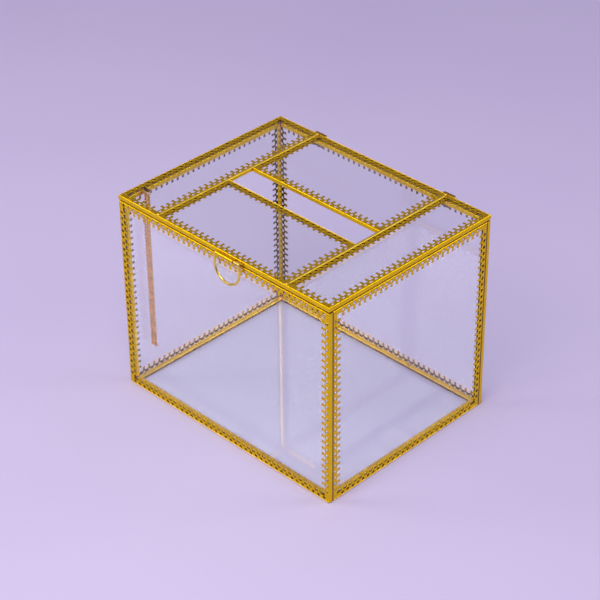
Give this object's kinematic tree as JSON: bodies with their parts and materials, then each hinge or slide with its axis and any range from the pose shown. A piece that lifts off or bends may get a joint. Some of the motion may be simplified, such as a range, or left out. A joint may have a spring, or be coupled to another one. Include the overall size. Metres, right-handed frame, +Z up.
{
  "type": "card box",
  "caption": "Clear glass card box edged in brass lace channel, with a hinged lid, a slot for envelopes, a ring pull and a chain that stays the open lid.",
  "frame": {"origin": "middle of the underside of the closed box", "axes": "+X along the front towards the right end, +Y from the front with the pull towards the back with the hinges, +Z up through the lid"},
  "size_m": [0.26, 0.2126, 0.2054],
  "materials": {
    "clear_glass": "polished",
    "lace_brass": "stamped and polished",
    "plain_brass": "polished",
    "gilt_solder": "gilded solder, slightly uneven",
    "hinge_brass": "satin",
    "wire_brass": "polished",
    "gilt_chain": "polished, copper gold"
  },
  "bodies": {
    "box": {"front_pane": "clear_glass", "back_pane": "clear_glass", "left_pane": "clear_glass", "right_pane": "clear_glass", "base_pane": "clear_glass", "front_bottom_came": "lace_brass", "front_right_came": "lace_brass", "front_top_came": "lace_brass", "front_left_came": "lace_brass", "back_bottom_came": "lace_brass", "back_left_came": "lace_brass", "back_top_came": "lace_brass", "back_right_came": "lace_brass", "left_bottom_came": "lace_brass", "left_front_came": "lace_brass", "left_top_came": "lace_brass", "left_back_came": "lace_brass", "right_bottom_came": "lace_brass", "right_back_came": "lace_brass", "right_top_came": "lace_brass", "right_front_came": "lace_brass", "base_frame": "plain_brass", "hinge_left_box_leaf": "hinge_brass", "hinge_left_pin": "hinge_brass", "hinge_right_box_leaf": "hinge_brass", "hinge_right_pin": "hinge_brass", "chain_box_peg": "wire_brass"},
    "lid": {"lid_left_pane": "clear_glass", "lid_right_pane": "clear_glass", "lid_back_pane": "clear_glass", "lid_front_pane": "clear_glass", "lid_left_front_came": "lace_brass", "lid_left_inner_came": "lace_brass", "lid_left_back_came": "lace_brass", "lid_left_outer_came": "lace_brass", "lid_right_front_came": "lace_brass", "lid_right_outer_came": "lace_brass", "lid_right_back_came": "lace_brass", "lid_right_inner_came": "lace_brass", "lid_back_slot_came": "lace_brass", "lid_back_right_came": "lace_brass", "lid_back_rear_came": "lace_brass", "lid_back_left_came": "lace_brass", "lid_front_fore_came": "lace_brass", "lid_front_right_came": "lace_brass", "lid_front_slot_came": "lace_brass", "lid_front_left_came": "lace_brass", "lid_left_seam": "gilt_solder", "lid_right_seam": "gilt_solder", "lid_solder_beads": "gilt_solder", "hinge_left_lid_leaf": "hinge_brass", "hinge_right_lid_leaf": "hinge_brass", "pull_sleeve": "wire_brass", "chain_lid_peg": "wire_brass"},
    "pull": {"pull_ring": "wire_brass"},
    "box_chain": {"chain_box_strand": "gilt_chain", "chain_joining_link": "gilt_chain"},
    "lid_chain": {"chain_lid_strand": "gilt_chain"}
  },
  "joints": [
    {"name": "lid_hinge", "type": "hinge", "parent": "box", "child": "lid", "pos_m": [0, 0.1044, 0.2012], "axis": [-1, 0, 0], "range_deg": [0, 125.65]},
    {"name": "pull_swing", "type": "hinge", "parent": "lid", "child": "pull", "pos_m": [0.012, -0.1042, 0.2016], "axis": [-1, 0, 0], "range_deg": [0, 195]},
    {"name": "box_chain_swing", "type": "hinge", "parent": "box", "child": "box_chain", "pos_m": [-0.12295, -0.076, 0.1954], "axis": [1, 0, 0], "range_deg": [0, 119.2]},
    {"name": "lid_chain_swing", "type": "hinge", "parent": "lid", "child": "lid_chain", "pos_m": [-0.11885, -0.076, 0.1954], "axis": [1, 0, 0], "range_deg": [0, 64.8]}
  ],
  "couplings": [
    {"joint": "box_chain_swing", "follows": "lid_hinge", "ratio": 0.94721},
    {"joint": "lid_chain_swing", "follows": "lid_hinge", "ratio": 0.51466}
  ]
}
